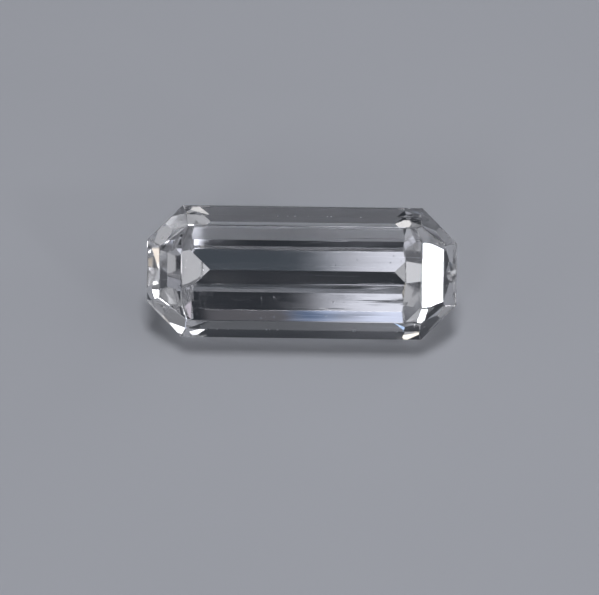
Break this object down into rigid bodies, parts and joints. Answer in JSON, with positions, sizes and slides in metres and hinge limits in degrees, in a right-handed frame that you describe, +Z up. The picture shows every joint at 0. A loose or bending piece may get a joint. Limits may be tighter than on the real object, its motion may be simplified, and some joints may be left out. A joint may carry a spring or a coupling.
{
  "type": "whewellite gemstone",
  "caption": "Clear colourless step-cut gemstone, a long narrow octagon with a wide table, stepped crown and pavilion, and a sharp keel.",
  "frame": {"origin": "centre of the stone's bounding box at its bottom, on the ground that the stone lies on", "axes": "+X along the stone's length, +Y away from the side that the table leans towards, +Z up"},
  "size_m": [0.01, 0.0038, 0.0038],
  "materials": {
    "crystal": "clear, colourless and polished, with a refractive index of about 1.6"
  },
  "bodies": {
    "root": {"whewellite_gemstone": "crystal"}
  },
  "joints": []
}
